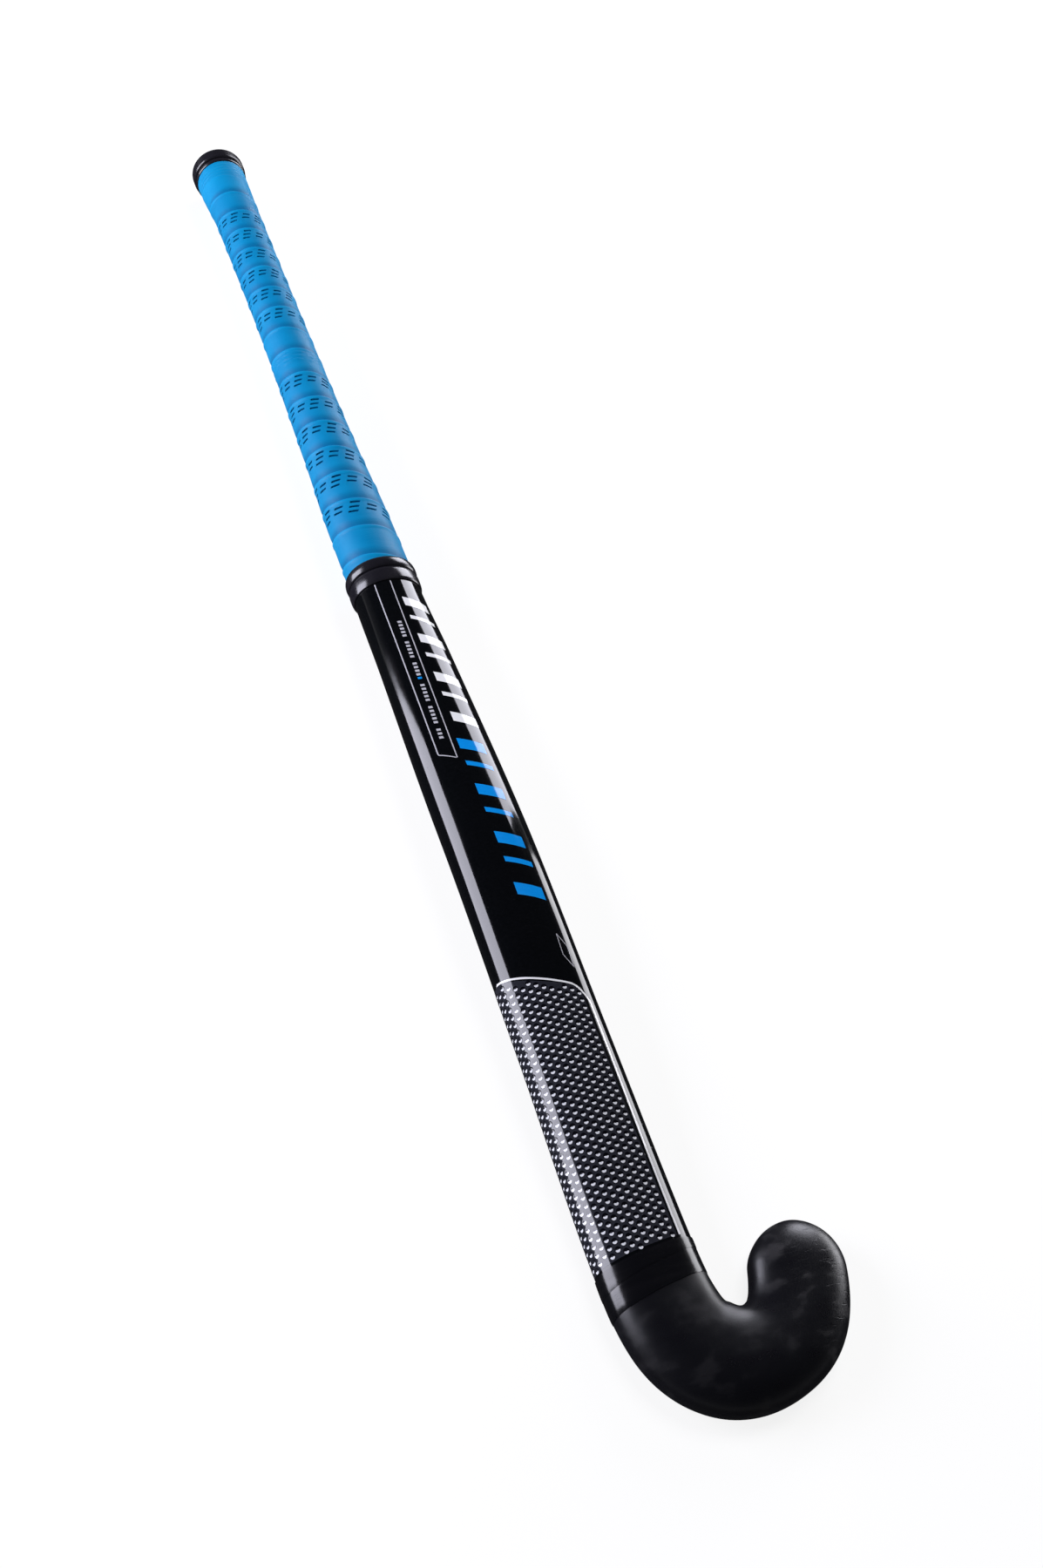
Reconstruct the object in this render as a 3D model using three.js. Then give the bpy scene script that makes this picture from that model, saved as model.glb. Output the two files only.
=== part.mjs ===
// Field hockey stick, 36.5 inch, right-handed, lying on its flat playing face with the rounded back up.
//
// Millimetres, +Z up. While the stick is drawn, y runs up the stick from the neck, where the laminate
// shaft meets the head, x points towards the toe, and z is measured from the plane the stick lies on.
// The finished group is then moved so that the origin is under the middle of its bounding box.

import * as THREE from "three";

// ---- Driving dimensions ----

const GAP = 0.3; // clearance between neighbouring pieces
const SIDES = 26; // facets round a section of the stick

// Outer profile of the bare stick and its grip at a few places along it: width across the face,
// thickness from face to back, and rise of the section's middle above the head's middle (the bow).
const PROFILE = [
  { y: 0, width: 47.9, thickness: 21.3, rise: 0 },
  { y: 110, width: 46.2, thickness: 21.8, rise: 6.6 },
  { y: 240, width: 45.5, thickness: 23.2, rise: 13.5 },
  { y: 355, width: 41.5, thickness: 25.7, rise: 11.1 },
  { y: 415, width: 38.9, thickness: 30.7, rise: 7.7 },
  { y: 475, width: 37.8, thickness: 33.0, rise: 7.8 },
  { y: 535, width: 33.8, thickness: 32.8, rise: 8.3 },
  { y: 685, width: 29.9, thickness: 30.4, rise: 10.8 },
  { y: 780, width: 30.6, thickness: 31.0, rise: 10.5 },
  { y: 833, width: 33.7, thickness: 34.0, rise: 7.8 },
];
const HEAD_MIDDLE = 10.65; // height of the head's middle over the face

// The head, a flat-faced bar bent round the hook: its width and how far it has turned, in degrees,
// at distances along its centre line from the neck to the end of the toe.
const HEAD = [
  { y: 0, width: 47.9, turn: 0 },
  { y: 28, width: 49.1, turn: 11.9 },
  { y: 54, width: 50.4, turn: 59.6 },
  { y: 82, width: 45.2, turn: 110.7 },
  { y: 112, width: 45.4, turn: 157.3 },
  { y: 143.8, width: 44.9, turn: 171.4 },
];
const HOOK_LENGTH = HEAD.at(-1).y;
const TOE_ROUNDING = 23; // length over which the toe closes in a half circle
const TOE_THICKNESS = 19.5;
const FACE_DEPTH = 0.38; // share of the thickness below the widest line, on the blade and the head
const BACK_POWER = 0.9; // 1 is an ellipse, less is squarer: the rounded back
const FACE_POWER = 0.5; // the underside of the blade and the head
const FACE_TRIM = 0.04; // share of the underside's depth trimmed flat
const BLADE_HALF = 24; // about half the blade's width

const SLEEVE_WALL = 1.2; // moulded skin of the head
const SLEEVE_TOP = -3.2; // its upper edge, under the neck tape
const TUBE_FOOT = -28; // the laminate tube ends here, inside the head's skin
const TUBE_JOG = 12; // a section of the tube part way down its foot
const TUBE_WALL = 2.6;
const TUBE_TOP = 832;
const RIB_THICKNESS = 1.6;
const RIB_SPAN = [-20, 375]; // the web that ties the tube's back to its face
const FOAM_SPAN = [436, 806]; // damping foam in the hollow handle

const GRIP_SPAN = [428.5, 833]; // from the collar to the end cap
const GRIP_TURNS = 17;
const GRIP_TAPE = 1.9;
const UNDERLAY = 0.9;
const SCALLOP = 0.45; // how far each overlapping turn stands proud
const COLLAR_SPAN = [410.4, 428.2];
const CAP_FLANGE = 18.4; // radius of the end cap's rim
const CAP_LENGTH = 17;
const CAP_SPIGOT = 24;
const CAP_TURN_SIDES = 32;

const FILM = 0.2; // thickness of the printed films
const FILM_LIFT = 0.5; // a film clears the facets of the shaft under it
const TAPE = 0.2; // thickness of the neck tape
const TAPE_LIFT = 0.16; // its clearance over the neck
const TAPE_ROWS = 4;

// ---- Profile ----

const smooth = (t) => t * t * (3 - 2 * t);

// Cubic interpolation of one column of a profile, with a slope taken from the neighbours.
function along(table, key, y) {
  const last = table.length - 1;
  let i = 0;
  while (i < last - 1 && y > table[i + 1].y) i += 1;
  const slope = (k) => {
    if (k === 0 || k === last) return 0;
    const before = (table[k][key] - table[k - 1][key]) / (table[k].y - table[k - 1].y);
    const after = (table[k + 1][key] - table[k][key]) / (table[k + 1].y - table[k].y);
    return before * after <= 0 ? 0 : (2 * before * after) / (before + after);
  };
  const [a, b] = [table[i], table[i + 1]];
  const span = b.y - a.y;
  const t = THREE.MathUtils.clamp((y - a.y) / span, 0, 1);
  const bend = slope(i) * span * t * (1 - t) ** 2 - slope(i + 1) * span * t * t * (1 - t);
  return a[key] + (b[key] - a[key]) * smooth(t) + bend;
}

// Share of the handle's round section in the section at y: 0 on the blade, 1 in the grip.
const roundness = (y) => smooth(THREE.MathUtils.clamp((y - 240) / 225, 0, 1));

// One point of a D section: an elliptic back over a squarish underside that is trimmed flat.
function sectionPoint(angle, halfWidth, below, above, round) {
  const c = Math.cos(angle);
  const s = Math.sin(angle);
  const squareness = THREE.MathUtils.lerp(FACE_POWER, 1, round);
  const power = s < 0 ? squareness : THREE.MathUtils.lerp(BACK_POWER, 1, round);
  const x = halfWidth * Math.sign(c) * Math.abs(c) ** power;
  if (s >= 0) return [x, above * s];
  const trim = 1 + FACE_TRIM * (1 - round);
  return [x, -below * Math.min(1, trim * Math.abs(s) ** squareness)];
}

// A point on the shaft's outer profile, moved out by offset.
function shaftPoint(y, angle, offset) {
  const round = roundness(y);
  const thickness = along(PROFILE, "thickness", y);
  const share = THREE.MathUtils.lerp(FACE_DEPTH, 0.5, round);
  const middle = HEAD_MIDDLE + along(PROFILE, "rise", y) + thickness * (share - 0.5);
  const halfWidth = along(PROFILE, "width", y) / 2 + offset;
  const below = thickness * share + offset;
  const above = thickness * (1 - share) + offset;
  const [x, z] = sectionPoint(angle, halfWidth, below, above, round);
  return new THREE.Vector3(x, y, middle + z);
}

// A point on the rounded back, by its distance x from the centre line.
function backPoint(x, y, offset) {
  const halfWidth = along(PROFILE, "width", y) / 2;
  const power = THREE.MathUtils.lerp(BACK_POWER, 1, roundness(y));
  const c = Math.sign(x) * Math.min(1, Math.abs(x) / halfWidth) ** (1 / power);
  return shaftPoint(y, Math.acos(c), offset);
}

// Centre line of the head, sampled finely: its place and heading at a distance from the neck.
const HEAD_STEPS = 400;
const headLine = [{ x: 0, y: 0, turn: 0 }];
for (let i = 1; i <= HEAD_STEPS; i += 1) {
  const step = HOOK_LENGTH / HEAD_STEPS;
  const turn = THREE.MathUtils.degToRad(along(HEAD, "turn", i * step));
  const before = headLine[i - 1];
  const heading = (turn + before.turn) / 2;
  headLine.push({ x: before.x + step * Math.sin(heading), y: before.y - step * Math.cos(heading), turn });
}

function headPoint(distance, angle, offset) {
  const { x, y, turn } = headLine[Math.round((distance / HOOK_LENGTH) * HEAD_STEPS)];
  const toe = THREE.MathUtils.clamp(1 - (HOOK_LENGTH - distance) / TOE_ROUNDING, 0, 1);
  const close = Math.sqrt(Math.max(0, 1 - toe * toe));
  const thickness = THREE.MathUtils.lerp(PROFILE[0].thickness, TOE_THICKNESS, distance / HOOK_LENGTH);
  const middle = thickness * FACE_DEPTH;
  const halfWidth = (along(HEAD, "width", distance) / 2) * close + offset;
  const closeUp = 0.12 + 0.88 * close;
  const below = middle * closeUp + offset;
  const above = thickness * (1 - FACE_DEPTH) * closeUp + offset;
  const [side, z] = sectionPoint(angle, Math.max(halfWidth, 0.3), below, above, 0);
  return new THREE.Vector3(x + side * Math.cos(turn), y + side * Math.sin(turn), middle + z);
}

// The stick's outer surface from the end of the handle, y > 0, round to the toe, y = -HOOK_LENGTH.
function outerPoint(y, angle, offset) {
  return y > 0 ? shaftPoint(y, angle, offset) : headPoint(-y, angle, offset);
}

// ---- Solid builders ----

function range(from, to, steps) {
  return Array.from({ length: steps + 1 }, (_, i) => from + ((to - from) * i) / steps);
}

function ring(place) {
  return Array.from({ length: SIDES }, (_, i) => place((2 * Math.PI * i) / SIDES));
}

const row = (y, offset) => ring((angle) => outerPoint(y, angle, offset));

// An indexed geometry from points and triangles, turned right side out.
function solid(points, triangles) {
  let volume = 0;
  for (const [a, b, c] of triangles) volume += points[a].dot(points[b].clone().cross(points[c]));
  const faces = volume < 0 ? triangles.map(([a, b, c]) => [a, c, b]) : triangles;
  const geometry = new THREE.BufferGeometry().setFromPoints(points);
  geometry.setIndex(faces.flat());
  geometry.computeVertexNormals();
  return geometry;
}

// Skins rows of equal length. A closed loop of rows makes a tube; an open one gets an end face at
// each end, as a fan about the row's middle.
function loft(rows, loop) {
  const sides = rows[0].length;
  const points = rows.flat();
  const triangles = [];
  const spans = loop ? rows.length : rows.length - 1;
  for (let r = 0; r < spans; r += 1) {
    const next = (r + 1) % rows.length;
    for (let i = 0; i < sides; i += 1) {
      const j = (i + 1) % sides;
      const [a, b, c, d] = [r * sides + i, r * sides + j, next * sides + j, next * sides + i];
      triangles.push([a, b, c], [a, c, d]);
    }
  }
  if (loop) return solid(points, triangles);
  for (const [start, flip] of [[0, true], [(rows.length - 1) * sides, false]]) {
    const middle = new THREE.Vector3();
    for (let i = 0; i < sides; i += 1) middle.addScaledVector(points[start + i], 1 / sides);
    const hub = points.push(middle) - 1;
    for (let i = 0; i < sides; i += 1) {
      const [a, b] = [start + i, start + ((i + 1) % sides)];
      triangles.push(flip ? [hub, b, a] : [hub, a, b]);
    }
  }
  return solid(points, triangles);
}

const tube = (outer, inner) => loft([...outer, ...inner.reverse()], true);

// A thin film over the back: place(u, v, offset) gives a point, with u and v from 0 to 1.
function film(place, across, down) {
  const columns = across + 1;
  const layer = columns * (down + 1);
  const points = [];
  for (const offset of [FILM_LIFT + FILM, FILM_LIFT]) {
    for (const v of range(0, 1, down)) {
      for (const u of range(0, 1, across)) points.push(place(u, v, offset));
    }
  }
  const triangles = [];
  const quad = (a, b, c, d) => triangles.push([a, b, c], [a, c, d]);
  for (let r = 0; r < down; r += 1) {
    for (let i = 0; i < across; i += 1) {
      const a = r * columns + i;
      quad(a, a + 1, a + columns + 1, a + columns);
      quad(layer + a, layer + a + columns, layer + a + columns + 1, layer + a + 1);
    }
  }
  const wall = (a, b) => quad(b, a, layer + a, layer + b);
  for (let i = 0; i < across; i += 1) {
    wall(i, i + 1);
    wall(down * columns + i + 1, down * columns + i);
  }
  for (let r = 0; r < down; r += 1) {
    wall((r + 1) * columns, r * columns);
    wall(r * columns + across, (r + 1) * columns + across);
  }
  return solid(points, triangles);
}

// A straight-sided patch of film between two ends, each given as [x, y] on its left and right.
function patch([startLeft, startRight], [endLeft, endRight], across, down) {
  const at = (u, v, k) => {
    const start = THREE.MathUtils.lerp(startLeft[k], startRight[k], u);
    return THREE.MathUtils.lerp(start, THREE.MathUtils.lerp(endLeft[k], endRight[k], u), v);
  };
  return film((u, v, offset) => backPoint(at(u, v, 0), at(u, v, 1), offset), across, down);
}

// A line of film of even width along a path of [x, y] points on the back.
function filmLine(path, width) {
  const last = path.length - 1;
  const place = (u, v, offset) => {
    const i = Math.round(v * last);
    const [ahead, behind] = [path[Math.min(i + 1, last)], path[Math.max(i - 1, 0)]];
    const [dx, dy] = [ahead[0] - behind[0], ahead[1] - behind[1]];
    const side = ((u - 0.5) * width) / Math.hypot(dx, dy);
    return backPoint(path[i][0] + dy * side, path[i][1] - dx * side, offset);
  };
  return film(place, 1, last);
}

const segment = ([x1, y1], [x2, y2], steps) =>
  range(0, 1, steps).map((t) => [THREE.MathUtils.lerp(x1, x2, t), THREE.MathUtils.lerp(y1, y2, t)]);

// ---- Materials ----

const finish = (color, roughness, metalness = 0) =>
  new THREE.MeshStandardMaterial({ color, roughness, metalness });

const lacquer = finish(0x0b0b10, 0.12);
const carbon = finish(0x1b1c20, 0.45);
const headSkin = finish(0x17171b, 0.55);
const tapeBlack = finish(0x141418, 0.35);
const foam = finish(0xcfc6a4, 0.9);
const cushion = finish(0x26272b, 0.85);
const gripBlue = finish(0x0a84d2, 0.6);
const rubber = finish(0x0c0c10, 0.25);
const silverInk = finish(0xb9bac4, 0.3, 0.4);
const whiteInk = finish(0xf2f2f4, 0.3);
const blueInk = finish(0x1590d8, 0.3);

// ---- Assembly ----

const stick = new THREE.Group();

function add(name, geometry, material) {
  const mesh = new THREE.Mesh(geometry, material);
  mesh.name = name;
  stick.add(mesh);
}

// The bare laminate is thinner than the outer profile inside the grip and inside the head's skin.
const underGrip = GRIP_TAPE + UNDERLAY + 2 * GAP;
function laminateOffset(y) {
  if (y < SLEEVE_TOP + GAP) return -(SLEEVE_WALL + GAP);
  return y > COLLAR_SPAN[0] + 4 ? -underGrip : 0;
}

const foamStations = range(...FOAM_SPAN, 7);

function makeShaft() {
  const blade = [TUBE_FOOT, -TUBE_JOG, SLEEVE_TOP, SLEEVE_TOP + 2 * GAP, ...range(15, 403, 12)];
  const handle = [COLLAR_SPAN[0] + 3.5, COLLAR_SPAN[0] + 4.5, ...range(436, 780, 6), TUBE_TOP];
  const outer = [...blade, ...handle].map((y) => row(y, laminateOffset(y)));
  const bore = [TUBE_FOOT, ...range(20, 378, 7), 425, ...foamStations, TUBE_TOP];
  const inner = bore.map((y) => row(y, -(y > 402 ? underGrip : SLEEVE_WALL + GAP) - TUBE_WALL));
  add("shaft_tube", tube(outer, inner), lacquer);
}

// Web between the tube's face and its back, standing clear of both.
function makeRib() {
  const clear = SLEEVE_WALL + TUBE_WALL + 2 * GAP;
  const rows = range(RIB_SPAN[0], RIB_SPAN[1], 14).map((y) => {
    const bottom = shaftPoint(y, -Math.PI / 2, -clear).z;
    const top = shaftPoint(y, Math.PI / 2, -clear - GAP).z;
    const half = RIB_THICKNESS / 2;
    return [[-half, bottom], [half, bottom], [half, top], [-half, top]].map(
      ([x, z]) => new THREE.Vector3(x, y, z),
    );
  });
  add("shaft_rib", loft(rows, false), carbon);
}

function makeHandleFoam() {
  const inset = -(underGrip + TUBE_WALL + GAP);
  add("handle_foam", loft(foamStations.map((y) => row(y, inset)), false), foam);
}

function makeHead() {
  const bendEnd = HOOK_LENGTH - TOE_ROUNDING;
  const coreStart = GAP - TUBE_FOOT;
  const bend = range(coreStart, bendEnd, 14);
  const toe = [0.25, 0.5, 0.7, 0.85, 0.95, 1].map((t) => bendEnd + TOE_ROUNDING * t);
  const skinStations = [GAP - SLEEVE_TOP, TUBE_JOG, ...bend, ...toe];
  const inside = skinStations.slice(0, -1).map((d) => row(-d, -SLEEVE_WALL));
  const outside = skinStations.map((d) => row(-d, 0));
  add("head_sleeve", loft([...inside.reverse(), ...outside], false), headSkin);

  const core = [...bend, ...toe.slice(0, -2)].map((d) => row(-d, -(SLEEVE_WALL + GAP)));
  add("head_core", loft(core, false), carbon);
}

// The neck tape is two laps of one strip; each edge runs across the stick at its own slant.
function makeNeckTape() {
  const edge = (y, slant, offset) =>
    ring((angle) => outerPoint(y + slant * Math.cos(angle) * BLADE_HALF, angle, offset));
  const lap = (name, low, high, thickness) => {
    const between = (t, k) => THREE.MathUtils.lerp(low[k], high[k], t);
    const rows = (offset) => range(0, 1, TAPE_ROWS).map((t) => edge(between(t, 0), between(t, 1), offset));
    add(name, tube(rows(TAPE_LIFT + thickness), rows(TAPE_LIFT)), tapeBlack);
  };
  lap("neck_tape_lower", [-16.8, 0.1], [-5, 0.2], TAPE);
  lap("neck_tape_upper", [-4.7, 0.2], [1.2, 0.12], TAPE * 1.5);
}

// Cushion underlay and the overlapping turns of the outer grip.
function makeGrip() {
  const [low, high] = GRIP_SPAN;
  const cushionSpan = [low + 6, TUBE_TOP - 2];
  const cushionRows = (offset) => range(...cushionSpan, 9).map((y) => row(y, offset));
  const tapeInside = -GRIP_TAPE;
  const layer = tube(cushionRows(tapeInside - GAP), cushionRows(tapeInside - GAP - UNDERLAY));
  add("grip_underlay", layer, cushion);

  const pitch = (high - low) / GRIP_TURNS;
  const outer = [];
  for (let turn = 0; turn < GRIP_TURNS; turn += 1) {
    const start = low + turn * pitch;
    outer.push(row(start + 0.4, 0), row(start + pitch - 0.6, SCALLOP));
  }
  const inner = range(low + 0.4, high - 0.6, 12).map((y) => row(y, tapeInside));
  add("grip_wrap", tube(outer, inner), gripBlue);
}

// Moulded collar that closes the lower end of the grip: a round bead over a lower band.
function makeCollar() {
  const [low, high] = COLLAR_SPAN;
  const groove = low + 0.58 * (high - low);
  const bead = (from, to, height, base, steps) =>
    range(0, 1, steps).map((t) => {
      const bulge = height * Math.sqrt(Math.max(0, 1 - (2 * t - 1) ** 2));
      return row(THREE.MathUtils.lerp(from, to, t), base + bulge);
    });
  const inner = (from, to, offset) => [row(from, offset), row(to, offset)];
  const bandInner = [row(low, GAP), row(low + 3, GAP), row(groove - GAP, GAP)];
  const bandOuter = [row(low, 0.7), row(low + 1, 1.2), row(groove - 1.5, 1.4), row(groove - GAP, 0.8)];
  add("collar_band", tube(bandOuter, bandInner), rubber);
  add("collar_bead", tube(bead(groove, high, 1.3, 0.4, 6), inner(groove, high, -underGrip + GAP)), rubber);
}

// End cap: a domed rim over a spigot that plugs the handle, and a separate lip ring under the rim.
function makeCap() {
  const centreZ = HEAD_MIDDLE + along(PROFILE, "rise", GRIP_SPAN[1]);
  const place = (geometry) => geometry.translate(0, 0, centreZ);
  const foot = TUBE_TOP - CAP_SPIGOT;
  const spigot = along(PROFILE, "width", foot) / 2 - underGrip - TUBE_WALL - 3 * GAP;
  const top = GRIP_SPAN[1] + CAP_LENGTH;
  const rimBase = GRIP_SPAN[1] + 4.8;
  const outline = [
    [0, foot],
    [spigot - 2, foot],
    [spigot, foot + 3],
    [spigot, TUBE_TOP + GAP],
    [13.5, TUBE_TOP + GAP],
    [13.5, rimBase],
    [CAP_FLANGE - 0.8, rimBase],
    [CAP_FLANGE, rimBase + 1],
    [CAP_FLANGE, top - 4.5],
    [CAP_FLANGE - 0.9, top - 2.6],
    [CAP_FLANGE - 3, top - 1],
    [CAP_FLANGE - 6.5, top - 0.3],
    [0, top],
  ].map(([radius, y]) => new THREE.Vector2(radius, y));
  add("end_cap", place(new THREE.LatheGeometry(outline, CAP_TURN_SIDES)), rubber);

  const lip = [
    [14, GRIP_SPAN[1] + GAP],
    [17.2, GRIP_SPAN[1] + GAP],
    [17.7, GRIP_SPAN[1] + 1.2],
    [17.1, rimBase - GAP],
    [14, rimBase - GAP],
    [14, GRIP_SPAN[1] + GAP],
  ].map(([radius, y]) => new THREE.Vector2(radius, y));
  add("cap_lip", place(new THREE.LatheGeometry(lip, CAP_TURN_SIDES)), rubber);
}

// Printed films on the rounded back.
function makeFilms() {
  // Dotted panel above the neck, from the toe side round past the heel side. Its top edge slants,
  // and is rounded off where it meets the toe side.
  const corner = { from: 9, to: 16.8, drop: 8 };
  const slantedTop = (x) => 137.8 - 0.38 * x;
  const rounded = (x) => corner.drop * Math.max(0, (x - corner.from) / (corner.to - corner.from)) ** 2.5;
  const panelTop = (x) => slantedTop(x) - rounded(x);
  const panelFoot = (x) => 2.6 + 0.12 * x;
  const panelSide = 14.6;
  const startAngle = Math.acos((panelSide / BLADE_HALF) ** (1 / BACK_POWER));
  const endAngle = THREE.MathUtils.degToRad(205);
  const panel = (u, v, offset) => {
    const angle = THREE.MathUtils.lerp(startAngle, endAngle, u);
    const x = Math.cos(angle) * BLADE_HALF;
    return shaftPoint(THREE.MathUtils.lerp(panelFoot(x), panelTop(x) - 3, v), angle, offset);
  };
  add("panel_film", film(panel, 12, 8), carbon);

  // White border along the panel's top, round its corner and down its toe side.
  const top = segment([-20, 0], [corner.from, 0], 4).map(([x]) => [x, panelTop(x)]);
  const turn = [11.5, 13.7, 15.4, 16.4].map((x) => [x, panelTop(x)]);
  const side = segment([corner.to, panelTop(corner.to) - 3], [16.2, 5], 8);
  add("panel_border", filmLine([...top, ...turn, ...side], 1.1), whiteInk);

  // Thin open frame under the collar.
  add("frame_line_outer", filmLine(segment([-9.4, 409.6], [-12, 280.4], 6), 0.6), silverInk);
  add("frame_line_inner", filmLine(segment([-0.4, 409.6], [-3.4, 275.4], 6), 0.6), silverInk);
  add("frame_line_end", filmLine(segment([-11.5, 279.4], [-4, 275.2], 1), 0.6), silverInk);

  // Two runs of slanted bars, wide and narrow by turns.
  const bars = (name, from, to, left, right, count, material) => {
    const pitch = (to - from) / count;
    for (let i = 0; i < count; i += 1) {
      const length = pitch * (i % 2 === 0 ? 0.46 : 0.2);
      const start = from + i * pitch;
      const slant = -5;
      const head = [[left, start], [right, start + slant]];
      const foot = [[left, start - length], [right, start + slant - length]];
      add(`${name}_${i + 1}`, patch(head, foot, 4, 1), material);
    }
  };
  bars("white_bar", 396, 292, 2.5, 15.5, 7, whiteInk);
  bars("blue_bar", 288, 178, 0, 13.5, 7, blueInk);

  // Small outlined lozenge below the bars.
  add("mark_lozenge", patch([[12, 162], [15.5, 155]], [[11.5, 150], [15, 143]], 2, 2), silverInk);
}

makeShaft();
makeRib();
makeHandleFoam();
makeHead();
makeNeckTape();
makeGrip();
makeCollar();
makeCap();
makeFilms();

// Origin under the middle of the bounding box.
stick.updateMatrixWorld(true);
const box = new THREE.Box3().setFromObject(stick, true);
const middle = box.getCenter(new THREE.Vector3());
stick.position.set(-middle.x, -middle.y, -box.min.z);

export default stick;
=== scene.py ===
"""Field hockey stick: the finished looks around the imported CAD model. Blender 4.5.

The surface formulas repeat the CAD model's, in millimetres, in the frame that the stick is drawn in:
y runs up the stick from the neck, x points towards the toe, z is the height over the playing face.
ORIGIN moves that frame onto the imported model's.
"""

import math

import bmesh
import bpy
import numpy as np
from mathutils import Matrix, Vector


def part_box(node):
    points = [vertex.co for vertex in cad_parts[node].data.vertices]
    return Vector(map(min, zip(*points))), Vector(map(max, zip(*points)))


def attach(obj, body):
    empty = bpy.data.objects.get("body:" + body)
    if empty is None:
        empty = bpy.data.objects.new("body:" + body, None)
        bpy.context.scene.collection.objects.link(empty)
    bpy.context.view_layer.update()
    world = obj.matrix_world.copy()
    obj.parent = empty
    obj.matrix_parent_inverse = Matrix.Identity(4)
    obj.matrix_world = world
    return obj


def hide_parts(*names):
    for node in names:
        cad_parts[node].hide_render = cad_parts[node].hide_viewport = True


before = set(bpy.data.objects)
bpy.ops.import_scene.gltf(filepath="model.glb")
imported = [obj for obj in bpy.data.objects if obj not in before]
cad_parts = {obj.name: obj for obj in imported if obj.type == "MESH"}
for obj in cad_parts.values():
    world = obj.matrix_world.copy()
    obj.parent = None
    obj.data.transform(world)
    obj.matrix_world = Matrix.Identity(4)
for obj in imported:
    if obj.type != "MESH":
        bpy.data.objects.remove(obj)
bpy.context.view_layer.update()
MM = 0.001

# ---- Driving dimensions, as in the CAD model ----

PROFILE_Y = [0, 110, 240, 355, 415, 475, 535, 685, 780, 833]
WIDTH = [47.9, 46.2, 45.5, 41.5, 38.9, 37.8, 33.8, 29.9, 30.6, 33.7]
THICKNESS = [21.3, 21.8, 23.2, 25.7, 30.7, 33.0, 32.8, 30.4, 31.0, 34.0]
RISE = [0, 6.6, 13.5, 11.1, 7.7, 7.8, 8.3, 10.8, 10.5, 7.8]
HEAD_MIDDLE = 10.65
HEAD_Y = [0, 28, 54, 82, 112, 143.8]
HEAD_WIDTH = [47.9, 49.1, 50.4, 45.2, 45.4, 44.9]
HEAD_TURN = [0, 11.9, 59.6, 110.7, 157.3, 171.4]
HOOK_LENGTH = HEAD_Y[-1]
TOE_ROUNDING = 23
TOE_THICKNESS = 19.5
FACE_DEPTH = 0.38
BACK_POWER = 0.9
FACE_POWER = 0.5
FACE_TRIM = 0.04

GAP = 0.3
SLEEVE_WALL = 1.2
SLEEVE_TOP = -3.2
TUBE_FOOT = -28
TUBE_WALL = 2.6
TUBE_TOP = 832
GRIP_LOW, GRIP_HIGH = 428.5, 833
GRIP_TAPE = 1.9
UNDER_GRIP = GRIP_TAPE + 0.9 + 2 * GAP
COLLAR_LOW, COLLAR_HIGH = 410.4, 428.2
CAP_FLANGE = 18.4
CAP_LENGTH = 17
CAP_SPIGOT = 24

grip_low, grip_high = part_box("grip_wrap")
ORIGIN = np.array([
    (grip_low.x + grip_high.x) / 2 / MM,
    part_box("shaft_tube")[1].y / MM - TUBE_TOP,
    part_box("head_sleeve")[0].z / MM,
])

SIDES = 96  # facets round a smooth section


# ---- Surface formulas ----

def smooth(t):
    t = np.clip(t, 0, 1)
    return t * t * (3 - 2 * t)


def lerp(a, b, t):
    return a + (b - a) * t


def along(knots, values, y):
    """Monotone cubic through a profile's values, level at both ends."""
    knots, values = np.asarray(knots, float), np.asarray(values, float)
    secant = np.diff(values) / np.diff(knots)
    before, after = secant[:-1], secant[1:]
    total = np.where(before + after == 0, 1, before + after)
    inner = np.where(before * after > 0, 2 * before * after / total, 0)
    slope = np.concatenate([[0], inner, [0]])
    i = np.clip(np.searchsorted(knots, y) - 1, 0, len(knots) - 2)
    span = knots[i + 1] - knots[i]
    t = np.clip((y - knots[i]) / span, 0, 1)
    bend = slope[i] * span * t * (1 - t) ** 2 - slope[i + 1] * span * t * t * (1 - t)
    return lerp(values[i], values[i + 1], smooth(t)) + bend


def roundness(y):
    return smooth((y - 240) / 225)


def section(angle, half_width, below, above, round_share):
    c, s = np.cos(angle), np.sin(angle)
    squareness = lerp(FACE_POWER, 1, round_share)
    power = np.where(s < 0, squareness, lerp(BACK_POWER, 1, round_share))
    x = half_width * np.sign(c) * np.abs(c) ** power
    trim = 1 + FACE_TRIM * (1 - round_share)
    under = -below * np.minimum(1, trim * np.abs(s) ** squareness)
    return x, np.where(s >= 0, above * s, under)


def shaft_point(y, angle, offset):
    round_share = roundness(y)
    thickness = along(PROFILE_Y, THICKNESS, y)
    share = lerp(FACE_DEPTH, 0.5, round_share)
    middle = HEAD_MIDDLE + along(PROFILE_Y, RISE, y) + thickness * (share - 0.5)
    half_width = along(PROFILE_Y, WIDTH, y) / 2 + offset
    below, above = thickness * share + offset, thickness * (1 - share) + offset
    x, z = section(angle, half_width, below, above, round_share)
    return np.stack(np.broadcast_arrays(x, y * 1.0, middle + z), -1)


HEAD_STEPS = 800
head_s = np.linspace(0, HOOK_LENGTH, HEAD_STEPS + 1)
head_turn = np.radians(along(HEAD_Y, HEAD_TURN, head_s))
heading = (head_turn[1:] + head_turn[:-1]) / 2
head_x = np.concatenate([[0], np.cumsum(np.sin(heading))]) * HOOK_LENGTH / HEAD_STEPS
head_y = -np.concatenate([[0], np.cumsum(np.cos(heading))]) * HOOK_LENGTH / HEAD_STEPS


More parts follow.
